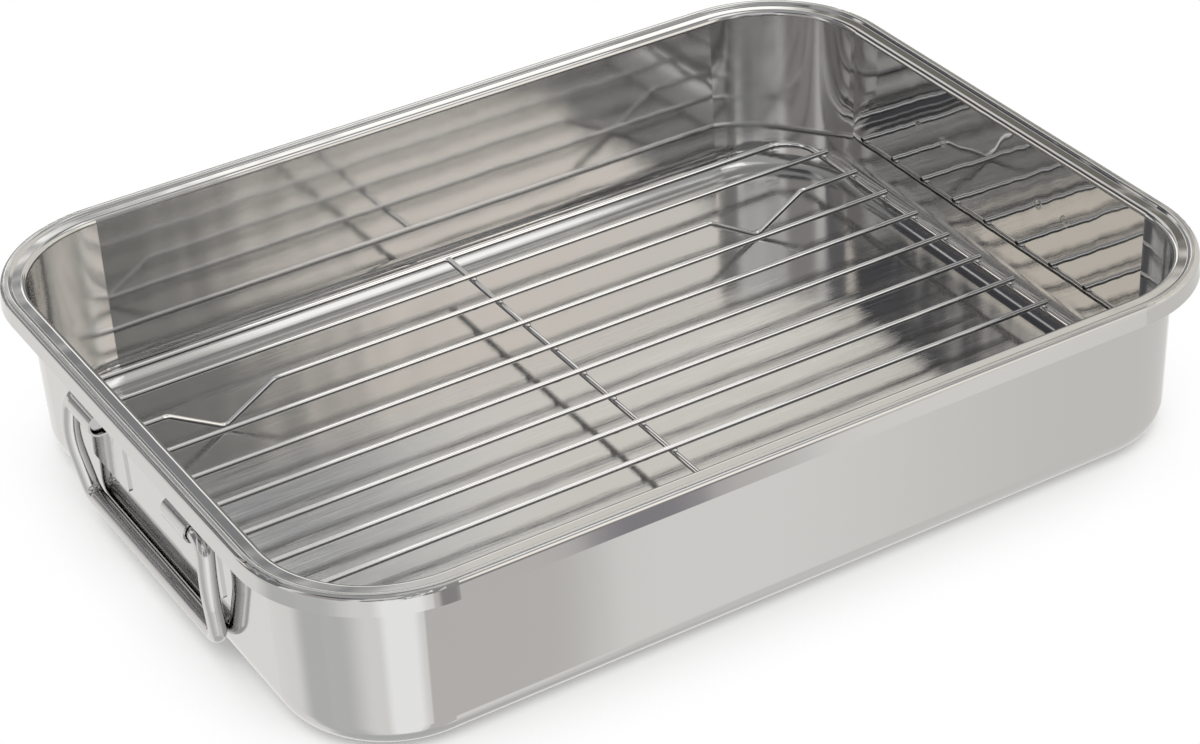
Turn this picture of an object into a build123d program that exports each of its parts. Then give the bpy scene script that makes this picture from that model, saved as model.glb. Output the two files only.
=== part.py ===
from build123d import *
import os
from math import cos, hypot, radians, sin, tan

# Roasting pan with a lift-out wire rack and a swinging bail handle at each end.
# X runs along the long side, Y from the front to the back, Z up.
# The origin is the centre of the underside of the pan's floor. Millimetres.

os.makedirs("parts", exist_ok=True)

# Pan, pressed from one sheet
rim_length = 400.0
rim_width = 302.0
pan_height = 75.0
sheet = 0.8
wall_draft = 1.15
wall_corner_radius = 45.0
floor_bend_radius = 10.2
floor_lap = 4.0

# Rim section, outwards from the inner face of the wall
rim_turn_radius = 2.3
ledge_width = 5.6
bead_step = 1.1
bead_width = 3.3
step_foot_radius = 0.5
bead_inner_radius = 1.2
bead_outer_radius = 2.0
skirt_depth = 7.4
skirt_flare = 0.8

# Bail handles, bent from round wire
handle_wire = 6.8
pin_drop = 19.3
pin_plate_gap = 0.5
pin_end_inset = 2.0
pin_end_round = 0.6
leg_bridge_gap = 0.8
leg_middle_drop = 18.6
leg_bow = 1.6
leg_splay = 2.55
leg_draw_in = 2.7
grip_height = 11.4
grip_rest_gap = 0.3
pin_bend_radius = 6.5
leg_bend_radius = 40.0
grip_bend_radius = 6.0

# Handle brackets, a spot-welded plate with a half-round bridge over the pin
bracket_sheet = 0.8
plate_width = 34.5
plate_spacing = 79.5
plate_below_pin = 27.5
plate_top_lip = 1.9
plate_corner_radius = 2.0
bridge_width = 19.0
bridge_shift_out = 0.75
bridge_clearance = 0.4
bridge_foot_radius = 1.0

# Rack, welded from round wire
bar_wire = 2.4
ring_wire = 2.8
bar_count = 10
bar_end_round = 0.4
ring_end_gap = 12.6
ring_side_gap = 20.0
ring_corner_radius = 15.0
bar_overhang = 2.0
weld_sink = 0.15
rack_shift_back = 3.0

# Feet, a pair of shallow V bends in the second bar from each side
foot_index = 1
foot_inset = 50.7
foot_half_width = 23.5
foot_depth = 13.9
foot_floor_gap = 0.3
foot_tip_radius = 5.0
foot_shoulder_radius = 6.0

# Where the wall stands at a given height, measured from the ledge downwards
rim_overhang = ledge_width + bead_step + bead_width
ledge_height = pan_height - bead_step
wall_lean = tan(radians(wall_draft))
wall_thickness_level = sheet / cos(radians(wall_draft))
inner_half_length = rim_length / 2 - rim_overhang
inner_half_width = rim_width / 2 - rim_overhang


def end_wall_x(height):
    """Distance from the centre to the outer face of an end wall."""
    lean_in = (ledge_height - height) * wall_lean
    return inner_half_length - lean_in + wall_thickness_level


# Pan body: the sheet's section, swept round the rim, and the floor inside it
floor_lean_in = (ledge_height - sheet) * wall_lean
floor_edge = floor_lean_in + floor_bend_radius
section_points = [
    (-floor_edge - floor_lap, sheet),
    (-floor_lean_in, sheet),
    (0, ledge_height),
    (ledge_width, ledge_height),
    (ledge_width + bead_step, pan_height),
    (rim_overhang, pan_height),
    (rim_overhang + skirt_flare, pan_height - skirt_depth),
]
section_radii = [
    floor_bend_radius,
    rim_turn_radius,
    step_foot_radius,
    bead_inner_radius,
    bead_outer_radius,
]

with BuildPart() as pan_body:
    with BuildSketch(Plane.XY, mode=Mode.PRIVATE) as wall_plan:
        RectangleRounded(2 * inner_half_length, 2 * inner_half_width, wall_corner_radius)
    wall_path = wall_plan.sketch.face().outer_wire()
    path_start = wall_path @ 0
    path_direction = wall_path % 0
    section_plane = Plane(
        origin=path_start,
        x_dir=path_direction.cross(Vector(0, 0, 1)),
        z_dir=-path_direction,
    )
    with BuildSketch(section_plane) as sheet_section:
        with BuildLine():
            FilletPolyline(section_points, radius=section_radii)
            offset(amount=sheet, side=Side.RIGHT)
        make_face()
    sweep(path=wall_path)
    with BuildSketch(Plane.XY):
        RectangleRounded(
            2 * (inner_half_length - floor_edge),
            2 * (inner_half_width - floor_edge),
            wall_corner_radius - floor_edge,
        )
    extrude(amount=sheet)
pan_body.part.label = "pan_body"
export_step(pan_body.part, "parts/pan_body.step")

# Brackets and handles share the pin's line, set off square to the drafted end wall
pin_height = pan_height - pin_drop
pin_standoff = bracket_sheet + pin_plate_gap + handle_wire / 2
wall_pin_x = end_wall_x(pin_height)
pin_x = wall_pin_x + pin_standoff * cos(radians(wall_draft))
pin_z = pin_height - pin_standoff * sin(radians(wall_draft))
bridge_inner_radius = handle_wire / 2 + bridge_clearance
bridge_outer_radius = bridge_inner_radius + bracket_sheet
bridge_root_half = bridge_outer_radius + 2 * bridge_foot_radius
bridge_middle_y = plate_spacing / 2 + bridge_shift_out
plate_above_pin = bridge_root_half + plate_top_lip
sides = (("left", -1), ("right", 1))
places = (("front", -1), ("back", 1))

for side, side_sign in sides:
    for place, place_sign in places:
        plate_plane = Plane(
            origin=(side_sign * wall_pin_x, place_sign * plate_spacing / 2, pin_height),
            x_dir=(side_sign * wall_lean, 0, 1),
            z_dir=(0, side_sign, 0),
        )
        bridge_plane = Plane(
            origin=(side_sign * wall_pin_x, place_sign * bridge_middle_y, pin_height),
            x_dir=(side_sign * wall_lean, 0, 1),
            z_dir=(0, side_sign, 0),
        )
        with BuildPart() as handle_bracket:
            with BuildSketch(plate_plane):
                with BuildLine():
                    Polyline(
                        (-plate_below_pin, 0),
                        (plate_above_pin, 0),
                        (plate_above_pin, bracket_sheet),
                        (-plate_below_pin, bracket_sheet),
                        close=True,
                    )
                make_face()
            extrude(amount=plate_width / 2, both=True)
            through_plate = Axis(plate_plane.origin, plate_plane.y_dir)
            fillet(handle_bracket.edges().filter_by(through_plate), radius=plate_corner_radius)
            with BuildSketch(bridge_plane) as bridge_section:
                with Locations((0, pin_standoff)):
                    Circle(bridge_outer_radius)
                with Locations((0, pin_standoff / 2)):
                    Rectangle(2 * bridge_outer_radius, pin_standoff)
                with Locations((0, bracket_sheet / 2)):
                    Rectangle(2 * bridge_root_half, bracket_sheet)
                foot_corners = bridge_section.vertices().sort_by_distance((0, bracket_sheet))
                fillet(foot_corners[:2], radius=bridge_foot_radius)
            extrude(amount=bridge_width / 2, both=True)
            with BuildSketch(bridge_plane):
                with Locations((0, pin_standoff)):
                    Circle(bridge_inner_radius)
                with Locations((0, pin_standoff / 2)):
                    Rectangle(2 * bridge_inner_radius, pin_standoff)
            extrude(amount=bridge_width / 2, both=True, mode=Mode.SUBTRACT)
        handle_bracket.part.label = f"handle_bracket_{side}_{place}"
        export_step(handle_bracket.part, f"parts/{handle_bracket.part.label}.step")

# Handles: pins, bowed legs that draw in towards the grip, and the grip
pin_end_y = bridge_middle_y - bridge_width / 2 + pin_end_inset
leg_top_y = bridge_middle_y + bridge_width / 2 + leg_bridge_gap + pin_bend_radius
grip_x = end_wall_x(grip_height) + grip_rest_gap + handle_wire / 2
handle_radii = [
    pin_bend_radius,
    leg_bend_radius,
    grip_bend_radius,
    grip_bend_radius,
    leg_bend_radius,
    pin_bend_radius,
]

for side, side_sign in sides:
    half_points = [
        (pin_x, pin_end_y, pin_z),
        (pin_x, leg_top_y, pin_z),
        (pin_x + leg_bow, leg_top_y + leg_splay, pin_height - leg_middle_drop),
        (grip_x, leg_top_y - leg_draw_in, grip_height),
    ]
    back_points = [(side_sign * x, y, z) for x, y, z in half_points]
    front_points = [(side_sign * x, -y, z) for x, y, z in reversed(half_points)]
    with BuildPart() as handle:
        with BuildLine() as handle_line:
            FilletPolyline(back_points + front_points, radius=handle_radii)
        with BuildSketch(Plane(origin=handle_line.line @ 0, z_dir=handle_line.line % 0)):
            Circle(handle_wire / 2)
        sweep()
        pin_faces = handle.faces().filter_by(Axis.Y)
        fillet(pin_faces.edges(), radius=pin_end_round)
    handle.part.label = f"handle_{side}"
    export_step(handle.part, f"parts/{handle.part.label}.step")

# Rack heights, from the rounded tips of the feet up, and the bars' places across the pan
foot_slope_share = hypot(foot_half_width, foot_depth) / foot_half_width
foot_tip_rise = foot_tip_radius * (foot_slope_share - 1)
bar_height = sheet + foot_floor_gap + bar_wire / 2 + foot_depth - foot_tip_rise
ring_height = bar_height - (bar_wire + ring_wire) / 2 + weld_sink
cross_bar_height = bar_height - bar_wire + weld_sink
ring_length = 2 * (inner_half_length - ring_end_gap)
ring_width = 2 * (inner_half_width - ring_side_gap)
bar_pitch = ring_width / (bar_count + 1)
outer_bar_y = (bar_count - 1) / 2 * bar_pitch
bar_half_length = ring_length / 2 + bar_overhang

with BuildPart() as rack_ring:
    with BuildSketch(Plane.XY.offset(ring_height), mode=Mode.PRIVATE) as ring_plan:
        with Locations((0, rack_shift_back)):
            RectangleRounded(ring_length, ring_width, ring_corner_radius)
    ring_path = ring_plan.sketch.face().outer_wire()
    with BuildSketch(Plane(origin=ring_path @ 0, z_dir=ring_path % 0)):
        Circle(ring_wire / 2)
    sweep(path=ring_path)
rack_ring.part.label = "rack_ring"
export_step(rack_ring.part, "parts/rack_ring.step")

cross_bar_half = ring_width / 2 - ring_wire / 2 + weld_sink
with BuildPart() as rack_cross_bar:
    with BuildSketch(Plane(origin=(0, rack_shift_back, cross_bar_height), z_dir=(0, 1, 0))):
        Circle(bar_wire / 2)
    extrude(amount=cross_bar_half, both=True)
rack_cross_bar.part.label = "rack_cross_bar"
export_step(rack_cross_bar.part, "parts/rack_cross_bar.step")

straight_bars = [i for i in range(bar_count) if i not in (foot_index, bar_count - 1 - foot_index)]
for number, index in enumerate(straight_bars, start=1):
    bar_y = rack_shift_back - outer_bar_y + index * bar_pitch
    with BuildPart() as rack_bar:
        with BuildSketch(Plane(origin=(0, bar_y, bar_height), z_dir=(1, 0, 0))):
            Circle(bar_wire / 2)
        extrude(amount=bar_half_length, both=True)
        fillet(rack_bar.edges().filter_by(GeomType.CIRCLE), radius=bar_end_round)
    rack_bar.part.label = f"rack_bar_{number}"
    export_step(rack_bar.part, f"parts/{rack_bar.part.label}.step")

foot_tip_height = bar_height - foot_depth
foot_middle_x = ring_length / 2 - foot_inset
foot_profile = []
for foot_x in (-foot_middle_x, foot_middle_x):
    foot_profile.append((foot_x - foot_half_width, bar_height))
    foot_profile.append((foot_x, foot_tip_height))
    foot_profile.append((foot_x + foot_half_width, bar_height))
foot_radii = [foot_shoulder_radius, foot_tip_radius, foot_shoulder_radius] * 2

for place, place_sign in places:
    bar_y = rack_shift_back + place_sign * (outer_bar_y - foot_index * bar_pitch)
    line_ends = [(-bar_half_length, bar_height), (bar_half_length, bar_height)]
    foot_line_points = [
        (x, bar_y, z) for x, z in line_ends[:1] + foot_profile + line_ends[1:]
    ]
    with BuildPart() as rack_foot_bar:
        with BuildLine() as foot_line:
            FilletPolyline(foot_line_points, radius=foot_radii)
        with BuildSketch(Plane(origin=foot_line.line @ 0, z_dir=foot_line.line % 0)):
            Circle(bar_wire / 2)
        sweep()
        end_faces = rack_foot_bar.faces().sort_by(Axis.X)
        fillet(end_faces[0].edges() + end_faces[-1].edges(), radius=bar_end_round)
    rack_foot_bar.part.label = f"rack_foot_bar_{place}"
    export_step(rack_foot_bar.part, f"parts/{rack_foot_bar.part.label}.step")
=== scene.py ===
from math import radians, sin

import bmesh
import bpy
from mathutils import Matrix, Vector


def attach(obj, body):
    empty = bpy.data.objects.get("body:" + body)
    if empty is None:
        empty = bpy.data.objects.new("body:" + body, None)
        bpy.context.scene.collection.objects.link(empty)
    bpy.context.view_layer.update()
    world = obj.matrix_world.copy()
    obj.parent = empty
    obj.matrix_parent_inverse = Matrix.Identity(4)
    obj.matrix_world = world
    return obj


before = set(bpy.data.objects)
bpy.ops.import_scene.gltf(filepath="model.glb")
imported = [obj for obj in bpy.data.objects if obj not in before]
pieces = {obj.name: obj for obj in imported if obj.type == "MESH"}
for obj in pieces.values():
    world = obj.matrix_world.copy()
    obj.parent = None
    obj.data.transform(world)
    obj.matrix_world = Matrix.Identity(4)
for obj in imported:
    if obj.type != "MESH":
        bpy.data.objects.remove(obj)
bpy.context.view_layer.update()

# Table and studio. The pan stands on a white table top with large soft lights round it.
# The space behind the pan and behind the camera is left dim, and bare metal needs both,
# because everything it shows is a reflection of the room.
scene = bpy.context.scene
scene.view_settings.view_transform = "Standard"

white = (1.0, 1.0, 1.0, 1.0)
table_size = 12.0
table_white = (0.92, 0.92, 0.91, 1.0)
contact_reach = 0.06
contact_dark = 0.1
contact_clear = 0.8
key_light_place = Vector((0.73, 0.0, 1.755))
key_light_size = (1.0, 0.42)
key_light_power = 0.9


class Shader:
    """A node tree under construction, with a short call for each node it gets."""

    def __init__(self, tree):
        self.tree = tree
        self.tree.nodes.clear()

    def node(self, kind, settings=None, **inputs):
        new_node = self.tree.nodes.new(kind)
        for name, value in (settings or {}).items():
            setattr(new_node, name, value)
        for name, value in inputs.items():
            self.feed(new_node.inputs[name.replace("_", " ")], value)
        return new_node

    def feed(self, socket, value):
        if isinstance(value, bpy.types.NodeSocket):
            self.tree.links.new(value, socket)
        else:
            socket.default_value = value

    def math(self, operation, *values):
        new_node = self.tree.nodes.new("ShaderNodeMath")
        new_node.operation = operation
        for socket, value in zip(new_node.inputs, values):
            self.feed(socket, value)
        return new_node.outputs[0]

    def ramp(self, value, low, high, to_low=0.0, to_high=1.0):
        new_node = self.tree.nodes.new("ShaderNodeMapRange")
        new_node.interpolation_type = "SMOOTHSTEP"
        for socket, number in zip(new_node.inputs, (value, low, high, to_low, to_high)):
            self.feed(socket, number)
        return new_node.outputs[0]

    def blend(self, share, first, second):
        new_node = self.tree.nodes.new("ShaderNodeMix")
        new_node.data_type = "RGBA"
        self.feed(new_node.inputs["Factor"], share)
        self.feed(new_node.inputs[6], first)
        self.feed(new_node.inputs[7], second)
        return new_node.outputs[2]

    def noise(self, place, per_metre, detail=1.0, roughness=0.5):
        """Noise with its own number of features in a metre along X, Y and Z."""
        mapping = self.tree.nodes.new("ShaderNodeMapping")
        self.feed(mapping.inputs["Vector"], place)
        mapping.inputs["Scale"].default_value = per_metre
        new_node = self.tree.nodes.new("ShaderNodeTexNoise")
        self.feed(new_node.inputs["Vector"], mapping.outputs[0])
        new_node.inputs["Scale"].default_value = 1.0
        new_node.inputs["Detail"].default_value = detail
        new_node.inputs["Roughness"].default_value = roughness
        return new_node.outputs["Fac"]

    def bump(self, height, distance, strength=1.0):
        return self.node("ShaderNodeBump", Strength=strength, Distance=distance, Height=height)

    def metal(self, colour, roughness, bump):
        surface = self.node(
            "ShaderNodeBsdfPrincipled",
            Base_Color=colour,
            Metallic=1.0,
            Roughness=roughness,
            Normal=bump.outputs[0],
        )
        self.node("ShaderNodeOutputMaterial", Surface=surface.outputs[0])


world = bpy.data.worlds.new("studio")
scene.world = world
world.use_nodes = True
sky = Shader(world.node_tree)
direction = sky.node("ShaderNodeTexCoord").outputs["Generated"]
direction_parts = sky.node("ShaderNodeSeparateXYZ", Vector=direction).outputs
azimuth = sky.math("DEGREES", sky.math("ARCTAN2", direction_parts["X"], direction_parts["Y"]))
elevation = sky.math("DEGREES", sky.math("ARCSINE", direction_parts["Z"]))
around = sky.math("WRAP", azimuth, 270.0, -90.0)

# What stands round the pan, in degrees. Each panel covers the ones before it, and its row is
# (middle azimuth clockwise from +Y, middle elevation, half width, half height, soft edge, colour)
studio_panels = [
    # Large warm window on the right, with brighter blinds at its near end
    (92.0, 26.0, 66.0, 26.0, 3.0, (0.88, 0.85, 0.79)),
    (145.0, 36.0, 6.0, 14.0, 4.0, (1.32, 1.28, 1.20)),
    (153.5, 28.0, 5.0, 14.0, 1.5, (1.36, 1.27, 1.17)),
    # Dim room in front of the pan
    (166.7, 15.0, 8.5, 15.0, 0.3, (0.37, 0.36, 0.34)),
    (165.2, 44.0, 10.0, 14.0, 0.6, (0.34, 0.34, 0.33)),
    (190.0, 14.0, 7.0, 15.0, 2.0, (0.27, 0.27, 0.28)),
    (203.0, 14.0, 5.0, 15.0, 2.0, (0.55, 0.53, 0.53)),
    (216.5, 29.6, 8.0, 1.8, 0.6, (0.22, 0.22, 0.23)),
    (216.5, 10.0, 8.0, 10.0, 1.0, (0.24, 0.24, 0.25)),
    # Grey wall on the left, dark towards the back, with one lit gap
    (250.0, 30.0, 18.0, 29.0, 5.0, (0.46, 0.44, 0.43)),
    (-62.0, 30.0, 17.0, 29.0, 2.0, (0.22, 0.22, 0.23)),
    (-43.0, 26.0, 6.0, 9.0, 1.5, (1.08, 1.0, 0.89)),
    # Grey ceiling, dark on the left and lit on the right
    (0.0, 90.0, 400.0, 44.0, 5.0, (0.45, 0.45, 0.45)),
    (255.0, 51.0, 32.0, 9.0, 3.0, (0.10, 0.10, 0.11)),
    (105.0, 75.0, 52.0, 12.0, 3.0, (0.75, 0.74, 0.71)),
    # White screen behind the pan, with dim space under it, over it and beside it
    (17.0, 20.0, 17.5, 9.0, 1.0, (1.60, 1.58, 1.52)),
    (10.0, 10.0, 48.0, 12.0, 2.0, (0.32, 0.32, 0.32)),
    (-6.2, 33.5, 31.5, 3.5, 2.0, (0.30, 0.30, 0.31)),
    (20.0, 41.5, 14.0, 4.0, 1.0, (0.90, 0.90, 0.88)),
    (-20.0, 47.0, 17.5, 10.0, 1.0, (0.08, 0.08, 0.09)),
    (-31.0, 33.5, 6.0, 3.6, 1.0, (0.10, 0.10, 0.11)),
    (-33.0, 25.5, 4.5, 5.0, 0.8, (0.17, 0.17, 0.18)),
    # Bright middle of the window, and two dark things at its far end
    (115.0, 29.0, 13.0, 8.0, 4.0, (1.15, 1.08, 0.99)),
    (40.0, 52.0, 22.0, 5.0, 1.5, (0.16, 0.16, 0.17)),
    (39.0, 28.0, 4.5, 3.0, 0.8, (0.22, 0.21, 0.19)),
    # Table top, lit unevenly, with a dim far edge in front
    (100.0, -40.0, 42.0, 38.0, 4.0, (0.78, 0.77, 0.75)),
    (162.5, -40.0, 13.0, 38.0, 1.0, (0.68, 0.66, 0.64)),
    (198.0, -40.0, 16.0, 38.0, 5.0, (1.18, 1.18, 1.18)),
    (262.0, -40.0, 22.0, 38.0, 14.0, (0.66, 0.66, 0.65)),
    (-80.0, -40.0, 18.0, 38.0, 10.0, (0.64, 0.64, 0.63)),
    (157.0, -8.0, 5.0, 13.0, 0.8, (0.32, 0.31, 0.31)),
    (152.6, -14.0, 1.2, 15.0, 0.4, (0.30, 0.29, 0.31)),
    (166.0, -14.0, 5.0, 15.0, 2.0, (0.34, 0.33, 0.33)),
    (0.0, -90.0, 400.0, 26.0, 5.0, (0.60, 0.60, 0.60)),
]
sky_colour = (0.94, 0.93, 0.91, 1.0)
for mid_azimuth, mid_elevation, half_width, half_height, soft, colour in studio_panels:
    aside = sky.math("ABSOLUTE", sky.math("SUBTRACT", around, mid_azimuth))
    above = sky.math("ABSOLUTE", sky.math("SUBTRACT", elevation, mid_elevation))
    inside_width = sky.ramp(aside, half_width - soft, half_width + soft, 1.0, 0.0)
    inside_height = sky.ramp(above, half_height - soft, half_height + soft, 1.0, 0.0)
    panel_mask = sky.math("MULTIPLY", inside_width, inside_height)
    sky_colour = sky.blend(panel_mask, sky_colour, (*colour, 1.0))
rays = sky.node("ShaderNodeLightPath").outputs
reflected_room = sky.blend(rays["Is Glossy Ray"], white, sky_colour)
room_light = sky.node("ShaderNodeBackground", Color=reflected_room, Strength=1.0)
sky.node("ShaderNodeOutputWorld", Surface=room_light.outputs[0])

bpy.ops.mesh.primitive_plane_add(size=table_size)
table = bpy.context.object
table.name = "table"
table.visible_glossy = False
table_finish = bpy.data.materials.new("table_top")
table_finish.use_nodes = True
top = Shader(table_finish.node_tree)
paper = top.node("ShaderNodeBsdfDiffuse", Color=table_white)
glow = top.node("ShaderNodeEmission", Color=white, Strength=1.0)
contact = top.node("ShaderNodeAmbientOcclusion", {"samples": 8}, Distance=contact_reach).outputs["AO"]
lit_share = top.ramp(contact, contact_dark, contact_clear)
seen_directly = top.node("ShaderNodeLightPath").outputs["Is Camera Ray"]
glow_share = top.math("MULTIPLY", seen_directly, lit_share)
table_mix = top.node("ShaderNodeMixShader")
for socket, value in zip(table_mix.inputs, (glow_share, paper.outputs[0], glow.outputs[0])):
    top.feed(socket, value)
top.node("ShaderNodeOutputMaterial", Surface=table_mix.outputs[0])
table.data.materials.append(table_finish)

key_data = bpy.data.lights.new("key_light", "AREA")
key_data.shape = "RECTANGLE"
key_data.size, key_data.size_y = key_light_size
key_data.energy = key_light_power
key_light = bpy.data.objects.new("key_light", key_data)
key_light.location = key_light_place
key_light.rotation_euler = (-key_light_place).to_track_quat("-Z", "Y").to_euler()
key_light.visible_camera = False
scene.collection.objects.link(key_light)

# Camera, looking down at the near left corner from the photograph's place.
camera_place = (-0.5229, -0.9064, 0.6996)
camera_direction = Vector((0.4192, 0.7271, -0.5437))
camera_roll = radians(-3.05)
camera_data = bpy.data.cameras.new("camera")
camera_data.lens = 95.67
camera_data.sensor_width = 36.0
camera_data.clip_start = 0.05
camera = bpy.data.objects.new("camera", camera_data)
camera_aim = camera_direction.to_track_quat("-Z", "Y").to_matrix()
camera_turn = camera_aim @ Matrix.Rotation(camera_roll, 3, "Z")
camera.matrix_world = Matrix.Translation(camera_place) @ camera_turn.to_4x4()
scene.collection.objects.link(camera)
scene.camera = camera

# Pan body. Stainless sheet, pressed to shape in one piece with its rolled rim. The floor is
# brushed lengthwise, the end walls are polished and a little wavy, the long walls and the
# corners are duller, and the outside is satin.
steel_warm = (0.64, 0.635, 0.625, 1.0)
steel_cool = (0.62, 0.62, 0.62, 1.0)


def new_finish(name):
    finish = bpy.data.materials.new(name)
    finish.use_nodes = True
    return finish, Shader(finish.node_tree)


def dress(objects, finish):
    for piece in objects:
        piece.data.materials.clear()
        piece.data.materials.append(finish)


pan_finish, steel = new_finish("pressed_stainless")
coordinates = steel.node("ShaderNodeTexCoord").outputs
place = coordinates["Object"]
place_parts = steel.node("ShaderNodeSeparateXYZ", Vector=place).outputs
normal_parts = steel.node("ShaderNodeSeparateXYZ", Vector=coordinates["Normal"]).outputs

# A face is inside where it looks towards the pan's middle, and the floor is inside too.
upward_weight = 0.05
inside_soft = 0.01
outward_x = steel.math("MULTIPLY", normal_parts["X"], place_parts["X"])
outward = steel.math("MULTIPLY_ADD", normal_parts["Y"], place_parts["Y"], outward_x)
inward = steel.math("MULTIPLY", outward, -1.0)
facing_in = steel.math("MULTIPLY_ADD", normal_parts["Z"], upward_weight, inward)
inside = steel.ramp(facing_in, -inside_soft, inside_soft)

floor_bend_low = 0.0084
floor_bend_high = 0.0156
bead_foot = 0.0742
bead_soft = 0.0006
near_floor = steel.ramp(place_parts["Z"], floor_bend_low, floor_bend_high, 1.0, 0.0)
on_floor = steel.math("MULTIPLY", inside, near_floor)
on_rim = steel.ramp(place_parts["Z"], bead_foot, bead_foot + bead_soft)
on_corner = steel.math("ABSOLUTE", steel.math("MULTIPLY", normal_parts["X"], normal_parts["Y"]))
round_corner = steel.ramp(on_corner, 0.02, 0.35)
long_wall = steel.ramp(steel.math("ABSOLUTE", normal_parts["Y"]), 0.6, 0.9)

brushing = steel.noise(place, (25.0, 5200.0, 1.0))
streaks = steel.noise(place, (9.0, 260.0, 260.0), detail=3.0)
ripple = steel.noise(place, (45.0, 60.0, 14.0), roughness=0.4)
drift = steel.noise(place, (9.0, 9.0, 5.0), detail=2.0)

# Where the brackets are spot-welded on, the sheet shows two small rings for each of them.
spot_places = (0.0320, 0.0487)
spot_height = 0.0478
spot_radius = 0.0019
spot_width = 0.0007
end_wall_from = 0.184
end_wall_full = 0.185


def spot_rings(shader, parts):
    """Height of the rings that spot welding leaves, from a place's separate coordinates."""
    aside = shader.math("ABSOLUTE", parts["Y"])
    up_squared = shader.math("POWER", shader.math("SUBTRACT", parts["Z"], spot_height), 2.0)
    reaches = []
    for spot_place in spot_places:
        away = shader.math("SUBTRACT", aside, spot_place)
        reaches.append(shader.math("SQRT", shader.math("MULTIPLY_ADD", away, away, up_squared)))
    nearest = shader.math("MINIMUM", *reaches)
    from_ring = shader.math("ABSOLUTE", shader.math("SUBTRACT", nearest, spot_radius))
    ring = shader.ramp(from_ring, 0.0, spot_width, 1.0, 0.0)
    on_end = shader.ramp(shader.math("ABSOLUTE", parts["X"]), end_wall_from, end_wall_full)
    return shader.math("MULTIPLY", ring, on_end)


# Drawing the sheet round the corners leaves small upright creases in the rim's skirt.
skirt_low = 0.0660
skirt_full = 0.0675
skirt_fade = 0.0725
skirt_top = 0.0735
creases = steel.noise(place, (330.0, 330.0, 60.0))
above_skirt_foot = steel.ramp(place_parts["Z"], skirt_low, skirt_full)
below_skirt_top = steel.ramp(place_parts["Z"], skirt_fade, skirt_top, 1.0, 0.0)
on_skirt = steel.math("MULTIPLY", above_skirt_foot, below_skirt_top)
corner_creases = steel.math("MULTIPLY", creases, steel.math("MULTIPLY", on_skirt, round_corner))

# Each roughness is a least value and what the noise adds to it.
polish_least, polish_added = 0.02, 0.03
floor_least, floor_added = 0.03, 0.05
outer_least, outer_added = 0.045, 0.03
rim_least, rim_added = 0.11, 0.06
long_wall_added = 0.055
corner_added = 0.09
polished = steel.math("MULTIPLY_ADD", drift, polish_added, polish_least)
straight_wall_rough = steel.math("MULTIPLY_ADD", long_wall, long_wall_added, polished)
wall_rough = steel.math("MULTIPLY_ADD", round_corner, corner_added, straight_wall_rough)
floor_rough = steel.math("MULTIPLY_ADD", streaks, floor_added, floor_least)
outer_rough = steel.math("MULTIPLY_ADD", drift, outer_added, outer_least)
rim_rough = steel.math("MULTIPLY_ADD", drift, rim_added, rim_least)


def between(share, low, high):
    return steel.math("MULTIPLY_ADD", steel.math("SUBTRACT", high, low), share, low)


body_rough = between(inside, outer_rough, between(on_floor, wall_rough, floor_rough))
pan_rough = between(on_rim, body_rough, rim_rough)

# Heights of the waves are shares of their depth, and the brushing has a depth of its own.
wave_depth = 0.0002
brush_depth = 0.000014
outer_wave_share = 0.15
crease_share = 0.12
spot_share = 0.18
wave_limit = steel.math("MULTIPLY_ADD", inside, 1.0 - outer_wave_share, outer_wave_share)
wave_share = steel.math("MULTIPLY", wave_limit, steel.math("SUBTRACT", 1.0, on_floor))
waves = steel.math("MULTIPLY", ripple, wave_share)
creased_waves = steel.math("MULTIPLY_ADD", corner_creases, crease_share, waves)
wave_height = steel.math("MULTIPLY_ADD", spot_rings(steel, place_parts), spot_share, creased_waves)
wave_bump = steel.bump(wave_height, wave_depth)
brush_bump = steel.bump(steel.math("MULTIPLY", brushing, on_floor), brush_depth)
steel.feed(brush_bump.inputs["Normal"], wave_bump.outputs[0])
steel.metal(steel.blend(drift, steel_cool, steel_warm), pan_rough, brush_bump)
dress([pieces["pan_body"]], pan_finish)

# Handle brackets. Four thin stainless plates, each spot-welded to an end wall,
# with a half-round bridge pressed out of it that holds the handle's pin.
bracket_names = [f"handle_bracket_{side}_{end}" for side in ("left", "right") for end in ("front", "back")]
plate_ring_share = 0.8
plate_bump_depth = 0.00006
plate_least, plate_added = 0.08, 0.08
bracket_finish, plate = new_finish("bracket_stainless")
plate_place = plate.node("ShaderNodeTexCoord").outputs["Object"]
plate_parts = plate.node("ShaderNodeSeparateXYZ", Vector=plate_place).outputs
plate_drift = plate.noise(plate_place, (40.0, 40.0, 25.0), detail=2.0)
plate_rings = spot_rings(plate, plate_parts)
plate_height = plate.math("MULTIPLY_ADD", plate_rings, plate_ring_share, plate_drift)
plate.metal(
    plate.blend(plate_drift, steel_cool, steel_warm),
    plate.math("MULTIPLY_ADD", plate_drift, plate_added, plate_least),
    plate.bump(plate_height, plate_bump_depth, strength=0.6),
)
dress([pieces[name] for name in bracket_names], bracket_finish)

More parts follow.
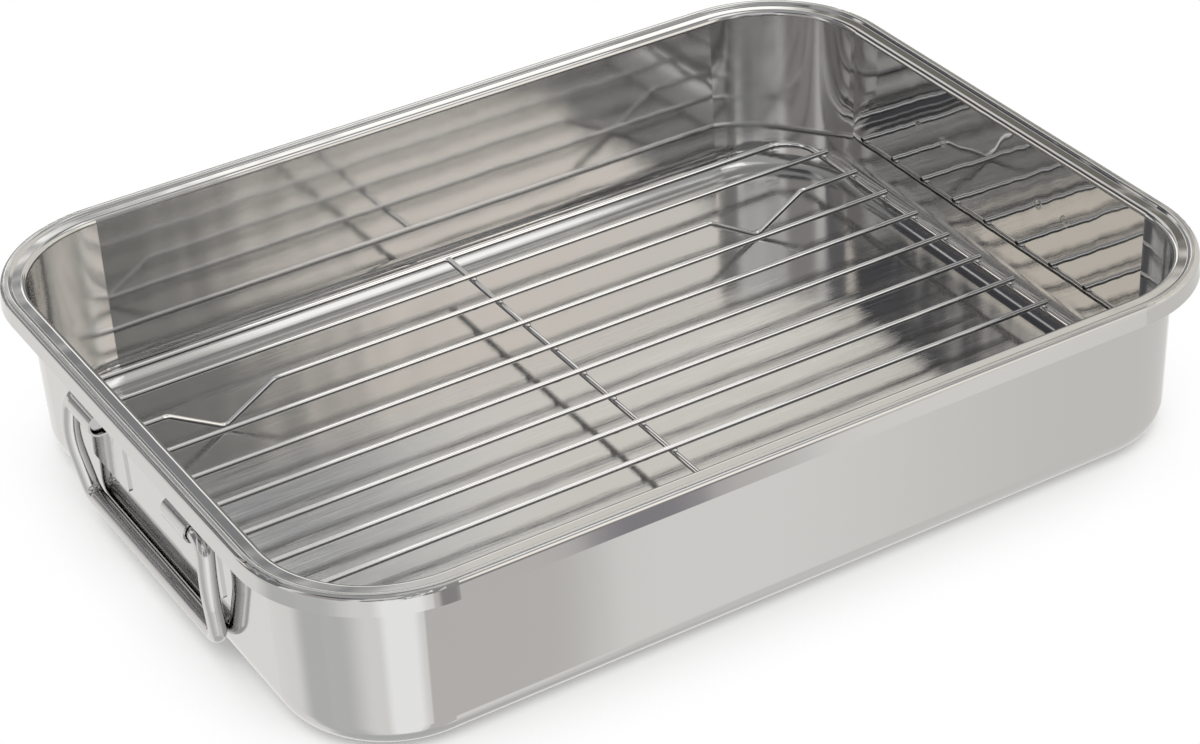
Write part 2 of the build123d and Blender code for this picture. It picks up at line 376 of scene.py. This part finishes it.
# Handles. Each is one length of stainless wire, bent cold to a bail, with its two ends
# turned in as pins that run in the brackets. Bending crinkles the wire at its low corners.
crinkle_from = 0.0500
crinkle_full = 0.0530
crinkle_low = 0.0168
crinkle_high = 0.0240
crinkle_share = 0.8
wire_bump_depth = 0.00005
wire_least, wire_added = 0.10, 0.10
handle_finish, wire = new_finish("handle_wire")
wire_place = wire.node("ShaderNodeTexCoord").outputs["Object"]
wire_parts = wire.node("ShaderNodeSeparateXYZ", Vector=wire_place).outputs
wire_drift = wire.noise(wire_place, (90.0, 60.0, 90.0), detail=2.0)
near_leg = wire.ramp(wire.math("ABSOLUTE", wire_parts["Y"]), crinkle_from, crinkle_full)
near_grip = wire.ramp(wire_parts["Z"], crinkle_low, crinkle_high, 1.0, 0.0)
near_bend = wire.math("MULTIPLY", near_leg, near_grip)
crinkles = wire.math("MULTIPLY", wire.noise(wire_place, (700.0, 700.0, 350.0)), near_bend)
wire_height = wire.math("MULTIPLY_ADD", crinkles, crinkle_share, wire_drift)
wire.metal(
    wire.blend(wire_drift, steel_cool, steel_warm),
    wire.math("MULTIPLY_ADD", wire_drift, wire_added, wire_least),
    wire.bump(wire_height, wire_bump_depth, strength=0.5),
)
dress([pieces["handle_left"], pieces["handle_right"]], handle_finish)

# Rack. Round wires, welded where they cross and then plated bright. The base colour is darkened
# along both sides of a wire and, more faintly, underneath, as a painted reflection of a dark room.
rack_names = [name for name in pieces if name.startswith("rack_")]
plating_dark = (0.88, 0.88, 0.885, 1.0)
plating_light = (0.95, 0.95, 0.95, 1.0)
# Painted dark reflection: the colour put into the base colour along the wire's sides and underneath.
painted_dark_reflection_colour = (0.15, 0.15, 0.15, 1.0)
painted_dark_from = 0.15
painted_dark_until = 0.42
painted_underside_share = 0.35
bright_bump_depth = 0.00002
bright_least, bright_added = 0.02, 0.04
rack_finish, bright = new_finish("rack_wire")
bright_coordinates = bright.node("ShaderNodeTexCoord").outputs
bright_drift = bright.noise(bright_coordinates["Object"], (120.0, 120.0, 120.0), detail=2.0)
facing_up = bright.node("ShaderNodeSeparateXYZ", Vector=bright_coordinates["Normal"]).outputs["Z"]
# Mask of the painted dark reflection, taken from which way the wire's surface faces.
not_on_top = bright.ramp(facing_up, painted_dark_from, painted_dark_until, 1.0, 0.0)
not_underneath = bright.ramp(facing_up, -painted_dark_until, -painted_dark_from, painted_underside_share, 1.0)
painted_dark_share = bright.math("MULTIPLY", not_on_top, not_underneath)
plating = bright.blend(bright_drift, plating_dark, plating_light)
bright.metal(
    bright.blend(painted_dark_share, plating, painted_dark_reflection_colour),
    bright.math("MULTIPLY_ADD", bright_drift, bright_added, bright_least),
    bright.bump(bright_drift, bright_bump_depth, strength=0.3),
)
dress([pieces[name] for name in rack_names], rack_finish)

# Rack welds. Where a bar lies on the ring or on the cross bar, resistance welding has
# squeezed out a small flat bead, and the ring's two ends meet in a butt weld with a collar.
first_bar_y = -0.096
bar_pitch = 0.022
bar_count = 10
ring_side_x = 0.1774
contact_height = 0.01427
ring_bead = (0.00165, 0.00215, 0.00080)
cross_bead = (0.00145, 0.00210, 0.00075)
cross_bar_ends = (-0.1165, 0.1225)
cross_bar_height = 0.01305
end_bead = (0.00200, 0.00120, 0.00120)
butt_place = (0.1645, 0.12385, 0.01294)
butt_collar = (0.00080, 0.00172, 0.00172)
swell_share = 0.10
swell_step = 2.4

bar_places = [first_bar_y + bar_pitch * count for count in range(bar_count)]
beads = []
for ring_side in (-ring_side_x, ring_side_x):
    beads += [((ring_side, bar_y, contact_height), ring_bead) for bar_y in bar_places]
beads += [((0.0, bar_y, contact_height), cross_bead) for bar_y in bar_places]
beads += [((0.0, end_y, cross_bar_height), end_bead) for end_y in cross_bar_ends]
beads.append((butt_place, butt_collar))

weld_mesh = bmesh.new()
for count, (bead_place, bead_size) in enumerate(beads):
    swell = 1.0 + swell_share * sin(count * swell_step)
    bead_shape = Matrix.Diagonal((*(size * swell for size in bead_size), 1.0))
    bmesh.ops.create_icosphere(
        weld_mesh,
        subdivisions=2,
        radius=1.0,
        matrix=Matrix.Translation(bead_place) @ bead_shape,
    )
for face in weld_mesh.faces:
    face.smooth = True
weld_data = bpy.data.meshes.new("rack_welds")
weld_mesh.to_mesh(weld_data)
weld_mesh.free()
rack_welds = bpy.data.objects.new("rack_welds", weld_data)
scene.collection.objects.link(rack_welds)
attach(rack_welds, "rack")
dress([rack_welds], rack_finish)
